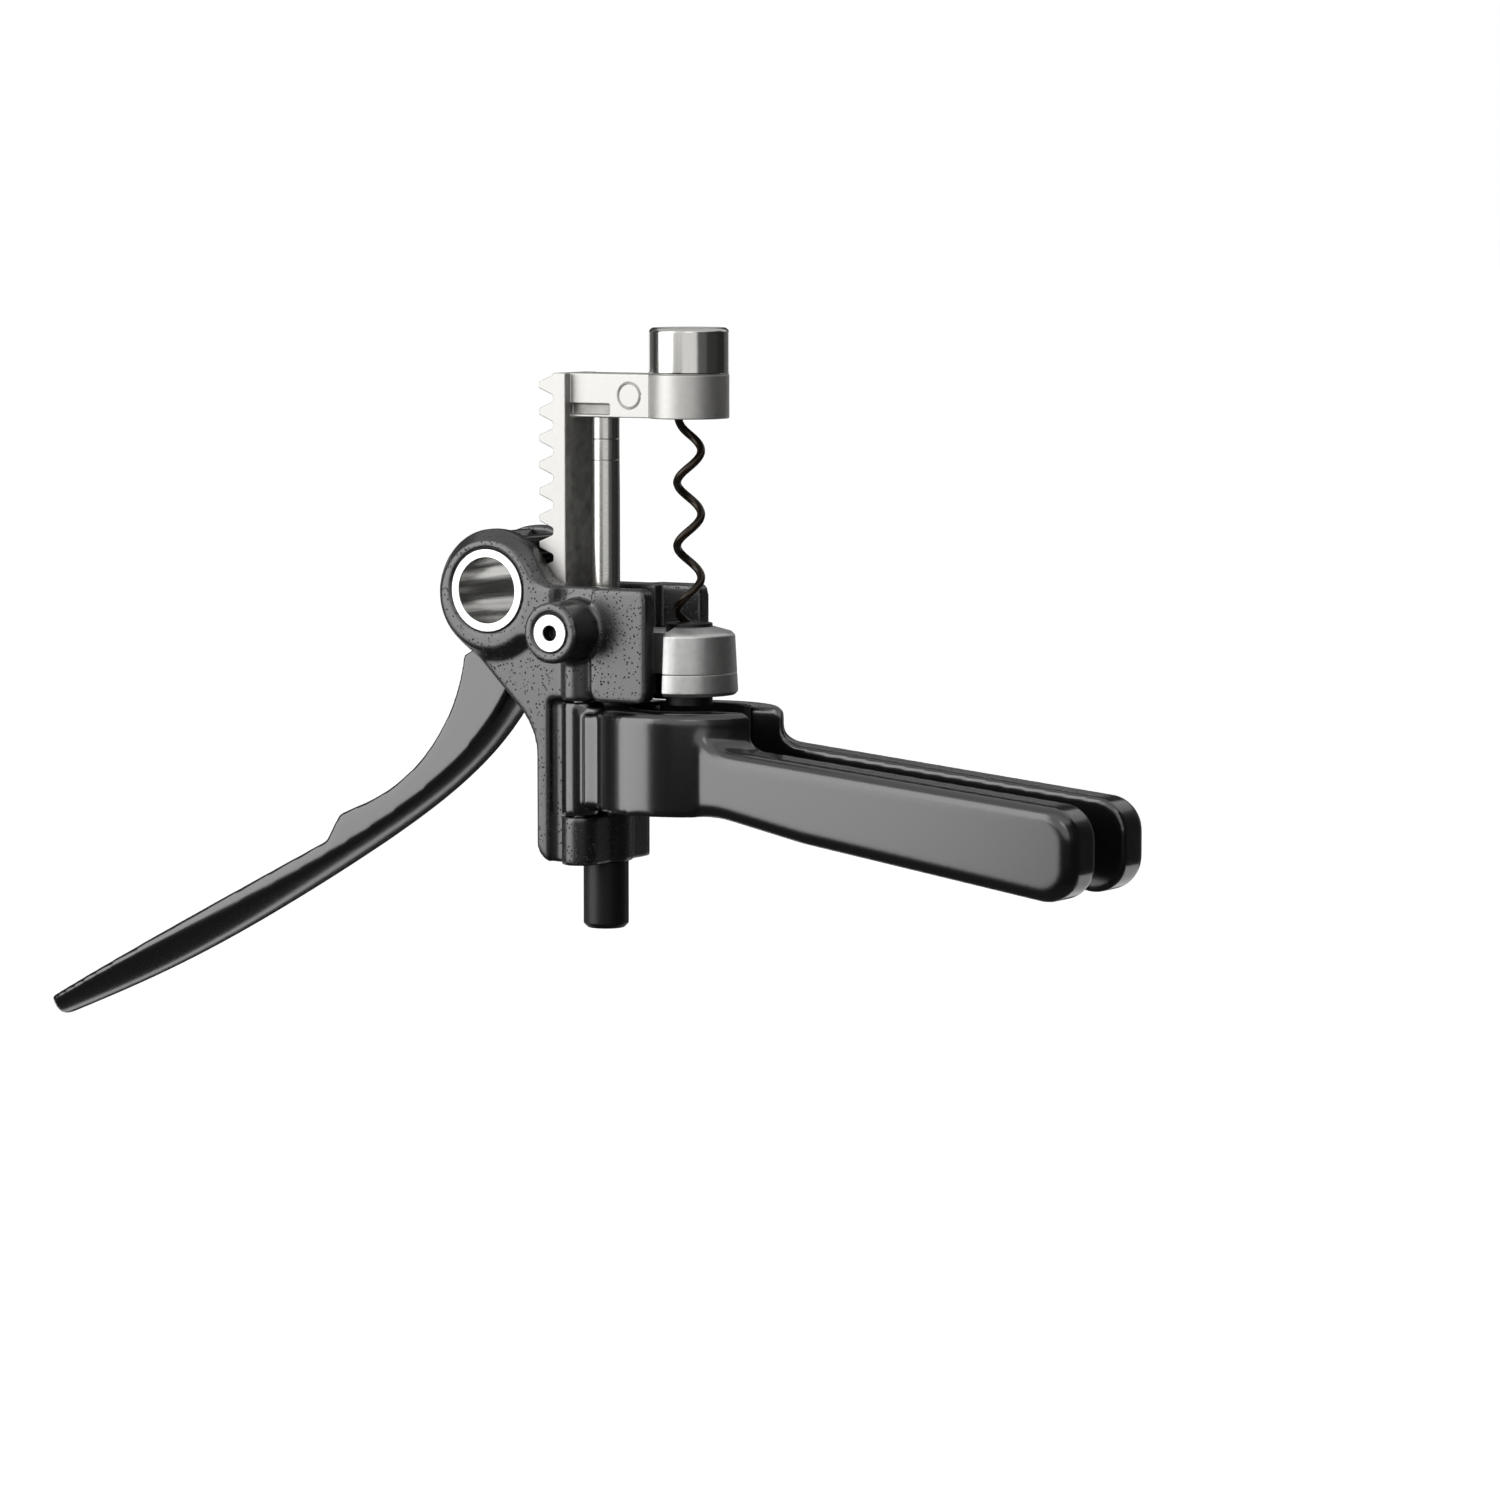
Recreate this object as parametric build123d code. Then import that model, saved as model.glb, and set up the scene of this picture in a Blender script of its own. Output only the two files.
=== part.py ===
"""Lever corkscrew: frame, geared lever, rack carrier, turning worm, nut carriage and two clamp handles.

Millimetres, +Z up. The origin is on the worm's axis, in the plane of the bottle's mouth, which is
the top of the two clamp jaws. +X runs along the handles and -X towards the lever's axle.
"""
import os
from math import acos, atan2, cos, degrees, hypot, pi, radians, sin, sqrt, tan

from build123d import *

# Clearances
run_gap = 0.05        # radial, a shaft that turns or slides in its bore
side_gap = 0.4        # between faces that slide past each other
mesh_gap = 0.3        # backlash of rack and gear at the pitch line
passage_gap = 0.4     # round the wire in the nut's helical passage
knuckle_gap = 0.3     # above and below a handle's hinge knuckle

# Rack and gear
tooth_module = 2.25
gear_teeth = 12       # teeth of the full circle that the lever's sector belongs to
sector_teeth = 9
pressure_angle = 23.0
tooth_addendum = 2.0
tooth_dedendum = 2.4
mesh_phase = 1.65     # height above the axle of the rack gap that is in mesh at rest
rack_half_width = 8.0
rack_web = 4.0
carrier_travel = 50.0

# Lever axle
axle_x = -53.4
axle_z = 29.9
axle_bore = 17.4
axle_body = 19.8
axle_flange = 22.2
flange_depth = 3.0

# Frame
ear_radius = 16.3
ear_boss_radius = 14.5
ear_boss_drop = 1.3   # of the raised boss below the axle's centre
ear_boss_height = 3.0
boss_flare = 2.6      # spread of the boss's foot
boss_web = (18.1, 31.3, -33.1)   # low edge, top edge and right end of the web to the latch
web_notches = (4.0, 6.0)         # rounds where the web meets the boss, below and above
plate_thickness = 4.6
flange_left = -39.8
flange_step = -35.7
frame_bottom = -42.2
frame_top = 31.7
hinge_top = 1.5       # underside of the upper hinge knuckle
hinge_bottom = -29.2  # top of the lower hinge block
cheek_face = 16.5
cheek_thickness = 5.0
cheek_left = -20.6
cheek_right = -3.6
cheek_round = 2.5
rear_cheek_low = 0.4
ear_slope = 45.0      # of the edge that runs down from the ear
knee_round = 18.0
flange_round = 5.0
notch_round = 9.0     # where the ear meets the frame's top
plate_step = 2.0      # the plate is thinner behind the hinge

# Guide post and tube
guide_x = -26.0
post_radius = 3.9
post_bottom = -6.5
post_spigot_radius = 2.6
collar_seams = (64.7, 70.3)
tube_wall = 1.3       # of the guide tube round the post
tube_shoulder = 0.85  # step out from the frame's bore to the tube's lower end
tube_bottom = -60.2
tube_floor = 2.6
tube_chamfer = 1.2
column_wall = 2.0     # of the frame round the tube

# Hinges of the two handles
knuckle_radius = 5.0
hinge_gap = 0.6       # between a handle's knuckle and the frame's column
hinge_pin_radius = 2.0
hinge_pin_top = 12.0
pin_inset = 0.5

# Latch in the frame's side boss
latch_z = 20.2
latch_boss_radius = 8.1
latch_boss_face = 28.0
latch_plug_radius = 5.05
latch_plug_depth = 4.5
latch_plug_hole = 1.95
plug_hole_depth = 3.0
plunger_radius = 3.0
plunger_shoulder = 3.6
plunger_bite = 1.4
spring_wire = 0.4
spring_turns = 4
spring_sides = 5
chamber_depth = 14.0  # of the plunger's wide bore behind the boss's face
shoulder_length = 2.0

# Carrier arm and ring
ring_radius = 10.65
carrier_bottom = 76.2
carrier_height = 11.6
arm_half_width = 5.5
cap_height = 12.3
cap_seat = 1.4
cap_edge = 0.9
cap_chamfer = 0.3
arm_pocket = (12.2, 0.7, 3.5, 1.3)   # length, lip, top above the arm's underside, depth
mark_x = -15.2
mark_radius = 3.5
mark_depth = 0.25
mark_line = 0.3
post_seat = 7.8       # depth of the post's spigot in the arm
screw_radius = 1.6
screw_head = (3.2, 1.0)  # radius, height
screw_slot = 0.8

# Worm and its bearing
worm_lead = 16.75
worm_radius = 3.2     # of the wire's centre line
worm_wire = 1.1
worm_tip_z = 3.0
worm_sides = 8
half_turn_points = 16  # path points to half a turn, in the measure of a wire's gap to itself
worm_peak_z = 67.7    # height at which the wire points along worm_peak_angle
worm_peak_angle = 31.0
spindle_radius = 5.0
bearing_radius = 7.4
spindle_inset = 2.3   # of the spindle's lower end in the ring
spindle_head = 1.5
spindle_float = 0.3   # between the spindle's head and the cap
washer_thickness = 0.6
head_step = 0.8       # of the spindle's head and the washer inside the bearing's bore
bearing_inset = 0.2
wire_bend = 3.6       # the helix ends this far below the ring and turns up into the spindle
wire_straight = 0.4
wire_turn = 55.0
wire_socket = 4.0
point_length = 4.0    # of the wire's ground point, in height

# Nut carriage
drum_top = 20.1
drum_seam = 9.2
drum_bottom = 3.4
drum_top_radius = 12.1
drum_low_radius = 13.0
drum_flat = -0.8
drum_chamfer = 0.9
drum_dome = 1.3       # rise of the drum's end towards the nut
dome_land = 0.4
tongue_gap = 0.5      # between the tongue and the frame's plates
sleeve_wall = 1.55
bush_wall = 1.0
nut_radius = 6.2
nut_top = 22.3
nut_bottom = 0.6
passage_depth = 9.6
passage_sides = 6

# Clamp jaws and handles
bottle_radius = 14.8
liner_wall = 1.5
jaw_radius = 25.0
jaw_height = 27.0
jaw_half_gap = 8.0
jaw_edge = 1.4
handle_face = 20.5
handle_length = 125.0
handle_round = 3.5
liner_inset = 1.0
saddle_round = 5.0     # where the grip's top meets the jaw
grip_start = 4.0
grip_top = -7.0        # height of the grip's top line at the worm's axis
grip_top_slope = 5.8
grip_bend = 20.0       # where the underside leaves the jaw's
grip_knee = (45.0, -32.4)
grip_end_height = 25.2
grip_end_round = 9.0
grip_bend_round = 30.0
web_half = 3.6         # of the web between a jaw and its hinge knuckle
rib_left = -22.4
rib_face = 18.3
rib_inset = (1.0, 1.9)  # of the rib below and above
rib_round = 1.5

# Lever arm, measured from the axle in X and Z
lever_inner_centre = (-66.0, -10.2)
lever_inner_radius = 54.0
lever_inner_angles = (-8.7, -69.0)
lever_neck = (-4.9, -13.9)                       # clears the rack's top at the end of the stroke
lever_stop = ((-52.6, -63.2), (-56.6, -70.6))    # finger stop on the inner edge
lever_tip = (-154.2, -121.4)
lever_rounds = (2.0, 3.0, 2.5)                   # at the finger stop and the tip
lever_tip_radius = 12.5
lever_blank_depth = 19.0
# Crown line: place, lean of the outward direction, half width, crown height
lever_sections = (
    (9.0, -6.0, 0, 8.0, 1.0),
    (6.5, -18.0, -20, 8.0, 1.2),
    (-2.0, -35.1, -38, 8.0, 1.4),
    (-29.3, -60.9, -54, 8.8, 1.6),
    (-63.0, -82.2, -60, 10.8, 2.4),
    (-100.0, -102.8, -63.5, 12.0, 4.6),
    (-135.0, -119.0, -66, 10.5, 4.2),
    (-157.0, -128.0, -70, 7.0, 2.5),
)

# Derived places
pitch_radius = tooth_module * gear_teeth / 2
tooth_pitch = pi * tooth_module
root_radius = pitch_radius - tooth_dedendum
tip_radius = pitch_radius + tooth_addendum
rack_pitch_x = axle_x + pitch_radius
rack_root_x = rack_pitch_x + tooth_dedendum
rack_back_x = rack_root_x + rack_web
plate_inner = rack_half_width + side_gap
plate_outer = plate_inner + plate_thickness
boss_outer = plate_outer + ear_boss_height
jaw_inner = bottle_radius + liner_wall
tube_bore = post_radius + run_gap
tube_spigot_radius = post_radius + tube_wall
tube_radius = tube_spigot_radius + tube_shoulder
column_radius = tube_spigot_radius + column_wall
hinge_y = column_radius + knuckle_radius + hinge_gap
bush_radius = tube_bore + bush_wall
sleeve_radius = bush_radius + sleeve_wall
tongue_half_width = plate_inner - tongue_gap
carrier_top = carrier_bottom + carrier_height
post_seat_z = carrier_bottom + post_seat
spindle_bottom = carrier_bottom + spindle_inset
sleeve_top = carrier_bottom - carrier_travel - side_gap   # stops short of the arm at the end of the stroke
latch_step = latch_boss_face - chamber_depth
spring_front = latch_step + shoulder_length
spring_back = latch_boss_face - latch_plug_depth
head_low = carrier_top - cap_seat - spindle_float - spindle_head
washer_low = head_low - run_gap - washer_thickness
wire_top = carrier_bottom - wire_bend
wire_seat = spindle_bottom - wire_straight
wire_end_angle = worm_peak_angle + 360 * (wire_top - worm_peak_z) / worm_lead + wire_turn


def bar_z(radius, low, high, x=0.0, y=0.0):
    return Pos(x, y, (low + high) / 2) * Cylinder(radius, high - low)


def bar_y(radius, low, high, x, z):
    return Pos(x, (low + high) / 2, z) * Rot(90, 0, 0) * Cylinder(radius, high - low)


def block(x_low, x_high, y_low, y_high, z_low, z_high):
    middle = Pos((x_low + x_high) / 2, (y_low + y_high) / 2, (z_low + z_high) / 2)
    return middle * Box(x_high - x_low, y_high - y_low, z_high - z_low)


def slab_y(face, y_low, y_high):
    """A face drawn in X and Z, drawn out along Y."""
    return extrude(Plane.XZ.offset(-y_high) * face, y_high - y_low, dir=(0, -1, 0))


def rounded(face, corner, radius):
    """A flat outline with the corner nearest to a point rounded."""
    return fillet(face.vertices().sort_by_distance(Vector(*corner))[0], radius)


def polar(radius, angle):
    return (radius * cos(radians(angle)), radius * sin(radians(angle)))


# Wire forms: a helix as tangent arcs, two to each quarter turn
def joined_arcs(start, start_way, end, end_way):
    chord = end - start
    ways = start_way + end_way
    bend = 2 * (1 - start_way.dot(end_way))
    reach = (sqrt(chord.dot(ways) ** 2 + bend * chord.dot(chord)) - chord.dot(ways)) / bend
    middle = (start + end + (start_way - end_way) * reach) / 2
    middle_way = (end - end_way * reach) - (start + start_way * reach)
    return [TangentArc(start, middle, tangent=start_way), TangentArc(middle, end, tangent=middle_way)]


def helix_point(radius, lead, angle, height):
    x, y = polar(radius, angle)
    way = Vector(-sin(radians(angle)) * radius, cos(radians(angle)) * radius, lead / (2 * pi))
    return Vector(x, y, height), way.normalized()


def helix_edges(radius, lead, low, high, angle_at_low):
    quarters = max(1, round((high - low) / lead * 4))
    rise = (high - low) / quarters
    edges = []
    for step in range(quarters):
        ends = [
            helix_point(radius, lead, angle_at_low + 360 * rise * n / lead, low + rise * n)
            for n in (step, step + 1)
        ]
        edges += joined_arcs(ends[0][0], ends[0][1], ends[1][0], ends[1][1])
    return edges


def wire_tube(edges, radius, sides):
    path = Wire(edges)
    section = Plane(origin=path @ 0, z_dir=path % 0) * RegularPolygon(radius, sides)
    return sweep(section, path=path)


def least_gap(edges, wire, neighbour):
    """Least distance between the wire's surface and itself a turn away, on points of its path."""
    points = [edge @ share for edge in edges for share in (0, 0.25, 0.5, 0.75)]
    apart = [
        (points[i] - points[j]).length
        for i in range(len(points))
        for j in range(i + neighbour, len(points))
    ]
    return round(min(apart) - 2 * wire, 2)


def worm_angle(height):
    return worm_peak_angle + 360 * (height - worm_peak_z) / worm_lead


# Toothed parts
def involute(angle):
    return tan(angle) - angle


def gear_tooth(centre_angle):
    base_radius = pitch_radius * cos(radians(pressure_angle))
    half_pitch = (tooth_pitch - mesh_gap) / 4 / pitch_radius + involute(radians(pressure_angle))

    def flank(radius, side):
        half = half_pitch - involute(acos(min(1.0, base_radius / radius)))
        return polar(radius, centre_angle + side * degrees(half))

    middle_radius = (base_radius + tip_radius) / 2
    low_half = degrees(half_pitch)
    foot = root_radius - 1.0
    lower = ThreePointArc(flank(base_radius, -1), flank(middle_radius, -1), flank(tip_radius, -1))
    upper = ThreePointArc(flank(tip_radius, 1), flank(middle_radius, 1), flank(base_radius, 1))
    outline = [
        Line(polar(foot, centre_angle - low_half), flank(base_radius, -1)),
        lower,
        Line(flank(tip_radius, -1), flank(tip_radius, 1)),
        upper,
        Line(flank(base_radius, 1), polar(foot, centre_angle + low_half)),
        Line(polar(foot, centre_angle + low_half), polar(foot, centre_angle - low_half)),
    ]
    return make_face(outline)


def rack_tooth(height):
    half = (tooth_pitch - mesh_gap) / 4
    slope = tan(radians(pressure_angle))
    tip = half - tooth_addendum * slope
    root = half + tooth_dedendum * slope
    tip_x = rack_pitch_x - tooth_addendum
    return Polygon(
        (tip_x, height - tip),
        (rack_root_x, height - root),
        (rack_root_x + rack_web / 2, height - root),
        (rack_root_x + rack_web / 2, height + root),
        (rack_root_x, height + root),
        (tip_x, height + tip),
        align=None,
    )


# Frame
def side_plate_face():
    ear = Pos(axle_x, axle_z) * Circle(ear_radius)
    slope = radians(ear_slope)
    start = (axle_x - ear_radius * cos(slope), axle_z - ear_radius * sin(slope))
    knee = (flange_left, start[1] - (flange_left - start[0]) * tan(slope))
    strip_right = guide_x - knuckle_radius - side_gap
    corner = (flange_left, frame_bottom)
    web = Polygon(
        start, knee, corner, (strip_right, frame_bottom), (strip_right, hinge_top),
        (cheek_left + cheek_thickness, hinge_top), (cheek_left + cheek_thickness, frame_top),
        (axle_x, frame_top), align=None,
    )
    face = ear + rounded(rounded(web, knee, knee_round), corner, flange_round)
    notch = (axle_x + sqrt(ear_radius ** 2 - (frame_top - axle_z) ** 2), frame_top)
    return rounded(face, notch, notch_round)


def ear_boss(with_web):
    """Raised face round the axle, flared at its foot, with a web to the latch on the front."""
    face = Pos(axle_x, axle_z - ear_boss_drop) * Circle(ear_boss_radius)
    if with_web:
        low, high, right = boss_web
        face += Polygon((axle_x, low), (right, low), (right, high), (axle_x, high), align=None)
        for height, radius in zip((low, high), web_notches):
            rise = height - axle_z + ear_boss_drop
            face = rounded(face, (axle_x + sqrt(ear_boss_radius ** 2 - rise ** 2), height), radius)
    foot = Plane.XZ.offset(plate_outer) * offset(face, boss_flare)
    slant = degrees(atan2(boss_flare, ear_boss_height))
    boss = extrude(foot, ear_boss_height, taper=slant)
    return boss & slab_y(side_plate_face(), -boss_outer, -plate_outer)


def cheek(low):
    outline = Pos((cheek_left + cheek_right) / 2, (low + frame_top) / 2) * RectangleRounded(
        cheek_right - cheek_left, frame_top - low, cheek_round
    )
    return slab_y(outline, -cheek_face, cheek_thickness - cheek_face)


def frame_side(with_web, cheek_low):
    plate = slab_y(side_plate_face(), -plate_outer, -plate_inner)
    plate -= block(flange_step, guide_x, -plate_outer, plate_step - plate_outer, frame_bottom, hinge_top)
    side = plate + ear_boss(with_web) + cheek(cheek_low)
    side += bar_z(knuckle_radius, hinge_top, latch_z, guide_x, -hinge_y)
    return side


def frame_casting():
    hinges = Pos(guide_x, 0, frame_bottom) * SlotCenterToCenter(2 * hinge_y, 2 * knuckle_radius, rotation=90)
    body = frame_side(True, hinge_top) + mirror(frame_side(False, rear_cheek_low), Plane.XZ)
    body += extrude(hinges, hinge_bottom - frame_bottom)
    spine_left = rack_back_x + side_gap
    body += block(spine_left, guide_x, -plate_inner, plate_inner, frame_bottom, hinge_bottom)
    spine_right = guide_x - knuckle_radius - side_gap
    body += block(spine_left, spine_right, -plate_inner, plate_inner, hinge_bottom, hinge_top)
    body += bar_z(column_radius, frame_bottom, hinge_top, guide_x)
    body += bar_y(latch_boss_radius, -latch_boss_face, -plate_inner, guide_x, latch_z)
    body -= block(rack_back_x, cheek_right, -plate_inner, plate_inner, hinge_top, frame_top)
    body -= bar_z(tube_spigot_radius, frame_bottom, hinge_top, guide_x)
    body -= bar_y(axle_body / 2, -boss_outer, boss_outer, axle_x, axle_z)
    body -= bar_y(axle_flange / 2, -boss_outer, flange_depth - boss_outer, axle_x, axle_z)
    body -= bar_y(axle_flange / 2, boss_outer - flange_depth, boss_outer, axle_x, axle_z)
    for side in (-1, 1):
        body -= bar_z(hinge_pin_radius, frame_bottom, hinge_pin_top, guide_x, side * hinge_y)
    body -= latch_bore()
    return body


def latch_bore():
    face = -latch_boss_face
    nose = bar_y(plunger_radius + run_gap, face, 0, guide_x, latch_z)
    chamber = bar_y(plunger_shoulder + run_gap, face, face + chamber_depth, guide_x, latch_z)
    seat = bar_y(latch_plug_radius, face, face + latch_plug_depth, guide_x, latch_z)
    return nose + chamber + seat


def axle_tube():
    """Hollow axle: flange in the front ear, body through the lever's hub, plain rear end."""
    tube = bar_y(axle_body / 2, -boss_outer, boss_outer, axle_x, axle_z)
    tube += bar_y(axle_flange / 2, -boss_outer, flange_depth - boss_outer, axle_x, axle_z)
    return tube - bar_y(axle_bore / 2, -boss_outer, boss_outer, axle_x, axle_z)


def axle_collar():
    ring = bar_y(axle_flange / 2, boss_outer - flange_depth, boss_outer, axle_x, axle_z)
    return ring - bar_y(axle_body / 2, boss_outer - flange_depth, boss_outer, axle_x, axle_z)


def hinge_pin(side):
    return bar_z(hinge_pin_radius, frame_bottom + pin_inset, hinge_pin_top, guide_x, side * hinge_y)


def guide_tube():
    tube = bar_z(tube_spigot_radius, frame_bottom, hinge_top, guide_x)
    cup = bar_z(tube_radius, tube_bottom, frame_bottom, guide_x)
    cup = chamfer(cup.edges().sort_by(Axis.Z)[0], tube_chamfer)
    bore = bar_z(tube_bore, tube_bottom + tube_floor, hinge_top, guide_x)
    return tube + cup - bore


# Nut carriage
def drum(low, high):
    def radius(height):
        share = (height - drum_bottom) / (drum_top - drum_bottom)
        return drum_low_radius + (drum_top_radius - drum_low_radius) * share

    cone = Pos(0, 0, (low + high) / 2) * Cone(radius(low), radius(high), high - low)
    return split(cone, Plane.YZ.offset(drum_flat))


def nut_carriage():
    body = drum(drum_seam, drum_top)
    body = chamfer(body.edges().filter_by(GeomType.CIRCLE).sort_by(Axis.Z)[-1], drum_chamfer)
    dome = Cone(drum_top_radius - drum_chamfer, nut_radius + dome_land, drum_dome)
    body += split(Pos(0, 0, drum_top + drum_dome / 2) * dome, Plane.YZ.offset(drum_flat))
    body += block(guide_x, 0, -tongue_half_width, tongue_half_width, drum_seam, drum_top)
    body += bar_z(sleeve_radius, hinge_top, sleeve_top, guide_x)
    body -= bar_z(bush_radius, hinge_top, sleeve_top, guide_x)
    body -= bar_z(nut_radius, drum_seam, drum_top + drum_dome)
    notch_end = plunger_bite + side_gap - sleeve_radius
    return body - bar_y(plunger_radius + side_gap, -plate_inner, notch_end, guide_x, latch_z)


def nut_carriage_skirt():
    ring = drum(drum_bottom, drum_seam)
    ring = chamfer(ring.edges().filter_by(GeomType.CIRCLE).sort_by(Axis.Z)[0], drum_chamfer)
    return ring - bar_z(nut_radius, drum_bottom, drum_seam)


def carriage_bush():
    tube = bar_z(bush_radius, hinge_top, sleeve_top, guide_x)
    return tube - bar_z(tube_bore, hinge_top, sleeve_top, guide_x)


def drive_nut():
    body = bar_z(nut_radius, nut_bottom, nut_top)
    body -= bar_z(worm_radius + worm_wire + passage_gap, nut_bottom, nut_top - passage_depth)
    low = nut_top - passage_depth - worm_wire
    high = nut_top + worm_wire
    path = helix_edges(worm_radius, worm_lead, low, high, worm_angle(low))
    passage = wire_tube(path, (worm_wire + passage_gap) / cos(pi / passage_sides), passage_sides)
    return body - passage


# Latch
def latch_plunger():
    tip_y = plunger_bite - sleeve_radius
    nose = bar_y(plunger_radius, -spring_front, tip_y, guide_x, latch_z)
    nose = chamfer(nose.edges().sort_by(Axis.Y)[-1], plunger_bite)
    return nose + bar_y(plunger_shoulder, -spring_front, -latch_step - run_gap, guide_x, latch_z)


def latch_spring():
    length = spring_back - spring_front - 2 * spring_wire - 2 * run_gap
    lead = length / spring_turns
    radius = plunger_shoulder - spring_wire - side_gap
    edges = helix_edges(radius, lead, 0, length, 0)
    coil = wire_tube(edges, spring_wire, spring_sides)
    print("latch_spring least gap", least_gap(edges, spring_wire, half_turn_points))
    return Pos(guide_x, -spring_front - spring_wire - run_gap, latch_z) * Rot(90, 0, 0) * coil


def latch_plug():
    face = -latch_boss_face
    plug = bar_y(latch_plug_radius, face, -spring_back, guide_x, latch_z)
    return plug - bar_y(latch_plug_hole, face, face + plug_hole_depth, guide_x, latch_z)


# Carrier
def rack_carrier():
    rack_low = axle_z - 2 * tooth_pitch - side_gap
    half = rack_half_width
    body = block(rack_root_x, rack_back_x, -half, half, rack_low, carrier_top)
    for step in range(-2, 8):
        height = axle_z + mesh_phase + (step + 0.5) * tooth_pitch
        body += slab_y(rack_tooth(height), -half, half)
    body += block(rack_root_x, 0, -arm_half_width, arm_half_width, carrier_bottom, carrier_top)
    body += bar_z(ring_radius, carrier_bottom, carrier_top)
    length, lip, top, depth = arm_pocket
    pocket = block(
        rack_back_x, rack_back_x + length, -arm_half_width, depth - arm_half_width,
        carrier_bottom + lip, carrier_bottom + top,
    )
    body -= pocket + mirror(pocket, Plane.XZ)
    body -= bar_z(bearing_radius, carrier_bottom, carrier_top)
    body -= bar_z(post_spigot_radius, carrier_bottom, post_seat_z, guide_x)
    body -= bar_z(screw_radius, carrier_bottom, carrier_top, guide_x)
    body -= bar_z(screw_head[0], carrier_top - screw_head[1], carrier_top, guide_x)
    middle = (carrier_bottom + carrier_top) / 2
    mark = bar_y(mark_radius, -arm_half_width, mark_depth - arm_half_width, mark_x, middle)
    mark -= bar_y(mark_radius - mark_line, -arm_half_width, mark_depth - arm_half_width, mark_x, middle)
    return body - mark


def guide_post():
    body = bar_z(post_radius, post_bottom, collar_seams[0], guide_x)
    body = chamfer(body.edges().sort_by(Axis.Z)[0], 0.8)
    body += bar_z(post_spigot_radius, collar_seams[0], post_seat_z, guide_x)
    return body - bar_z(screw_radius, collar_seams[1], post_seat_z, guide_x)


def post_collar(low, high):
    return bar_z(post_radius, low, high, guide_x) - bar_z(post_spigot_radius, low, high, guide_x)


def post_screw():
    """Screw whose slotted head lies flush in the arm."""
    head_radius, head_height = screw_head
    shank = bar_z(screw_radius, collar_seams[1] + side_gap, carrier_top, guide_x)
    head = bar_z(head_radius, carrier_top - head_height, carrier_top, guide_x)
    half = screw_slot / 2
    slot = block(
        guide_x - head_radius, guide_x + head_radius, -half, half, carrier_top - head_height / 2, carrier_top
    )
    return shank + head - slot


def top_cap():
    cap = bar_z(ring_radius, carrier_top, carrier_top + cap_height)
    cap = chamfer(cap.edges().sort_by(Axis.Z)[-1], cap_edge)
    cap = chamfer(cap.edges().sort_by(Axis.Z)[0], cap_chamfer)
    return cap + bar_z(bearing_radius, carrier_top - cap_seat, carrier_top)


# Worm and spindle
def bearing_ring(radius, low, high):
    return bar_z(radius, low, high) - bar_z(spindle_radius + run_gap, low, high)


def worm_bearing():
    return bearing_ring(bearing_radius, carrier_bottom + bearing_inset, washer_low)


def thrust_washer():
    return bearing_ring(bearing_radius - head_step, washer_low, washer_low + washer_thickness)


def worm_spindle():
    body = bar_z(spindle_radius, spindle_bottom, head_low)
    body += bar_z(bearing_radius - head_step, head_low, head_low + spindle_head)
    x, y = polar(worm_radius, wire_end_angle)
    return body - bar_z(worm_wire, spindle_bottom, spindle_bottom + wire_socket, x, y)


def worm():
    low = worm_tip_z + point_length
    edges = helix_edges(worm_radius, worm_lead, low, wire_top, worm_angle(low))
    start, start_way = helix_point(worm_radius, worm_lead, worm_angle(wire_top), wire_top)
    x, y = polar(worm_radius, wire_end_angle)
    end = Vector(x, y, wire_seat)
    edges += joined_arcs(start, start_way, end, Vector(0, 0, 1))
    edges.append(Line(end, Vector(x, y, spindle_bottom + wire_socket)))
    print("worm least gap", least_gap(edges, worm_wire, half_turn_points))
    return wire_tube(edges, worm_wire, worm_sides) + worm_point(low)


def worm_point(high):
    """The wire's ground point, a taper that follows the last stretch of the helix."""
    rings = []
    for share in (0, 0.35, 0.7, 1):
        height = high - share * (high - worm_tip_z)
        centre, way = helix_point(worm_radius, worm_lead, worm_angle(height), height)
        rings.append(Plane(origin=centre, z_dir=-way) * Circle(worm_wire * (1 - 0.9 * share ** 1.5)))
    return loft(rings, ruled=True)


# Lever: hub with its toothed sector, and an arm with a crowned outer face
def lever_section(x, z, lean, half, crown):
    """Cross-section at a point of the crown line; it reaches in past the arm's inner edge."""
    across = Vector(0, 1, 0)
    inwards = Vector(-cos(radians(lean)), 0, -sin(radians(lean)))
    plane = Plane(origin=(axle_x + x, 0, axle_z + z), x_dir=across, z_dir=across.cross(inwards))
    outline = [
        ThreePointArc((-half, crown), (0, 0), (half, crown)),
        Line((half, crown), (half, lever_blank_depth)),
        Line((half, lever_blank_depth), (-half, lever_blank_depth)),
        Line((-half, lever_blank_depth), (-half, crown)),
    ]
    return plane * make_face(outline)


def lever_profile():
    """Side view of the arm: everything outwards of its inner edge, from its neck to its tip."""
    centre_x, centre_z = lever_inner_centre
    begin, end = lever_inner_angles
    first, middle, last = [
        (centre_x + x, centre_z + z)
        for x, z in (polar(lever_inner_radius, angle) for angle in (begin, (begin + end) / 2, end))
    ]
    lean = radians(lever_sections[-1][2])
    tip_x, tip_z = lever_tip
    far = (tip_x + lever_blank_depth * cos(lean), tip_z + lever_blank_depth * sin(lean))
    hub = [(root_radius, far[1]), (root_radius, 0), (lever_neck[0], 0)]
    corners = [last, *lever_stop, lever_tip, far, *hub, lever_neck, first]
    outline = [Line(start, stop) for start, stop in zip(corners, corners[1:])]
    face = make_face([ThreePointArc(first, middle, last), *outline])
    for corner, radius in zip([*lever_stop, lever_tip], lever_rounds):
        face = rounded(face, corner, radius)
    return face


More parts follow.
